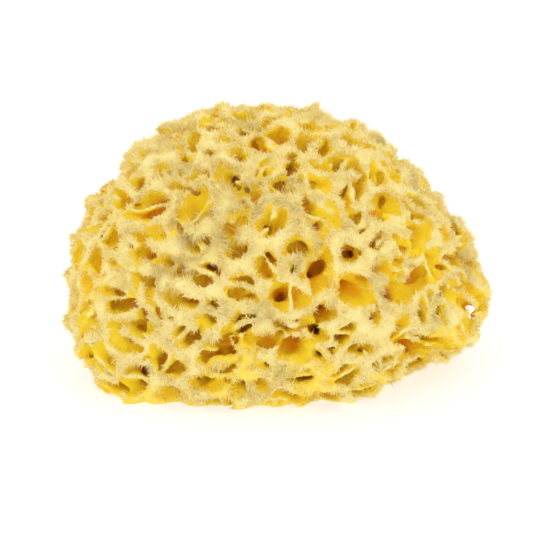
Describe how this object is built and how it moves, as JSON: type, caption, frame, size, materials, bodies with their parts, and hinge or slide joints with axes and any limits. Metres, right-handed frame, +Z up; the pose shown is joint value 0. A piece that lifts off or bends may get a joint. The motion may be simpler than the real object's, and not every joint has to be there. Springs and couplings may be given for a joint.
{
  "type": "sea sponge",
  "caption": "Dry natural honeycomb sponge: a rounded bun with a web of felted crests round deep pits all over, cut flat underneath so that it stands.",
  "frame": {"origin": "middle of the sponge's outline seen from above, at the level of its flat cut underside", "axes": "+X along the sponge's width, +Y away from the viewer of the picture, +Z up from the cut underside"},
  "size_m": [0.1437, 0.1232, 0.0881],
  "materials": {
    "sponge_fibre": "matt golden yellow sponge fibre"
  },
  "bodies": {
    "root": {"sea_sponge": "sponge_fibre"}
  },
  "joints": []
}
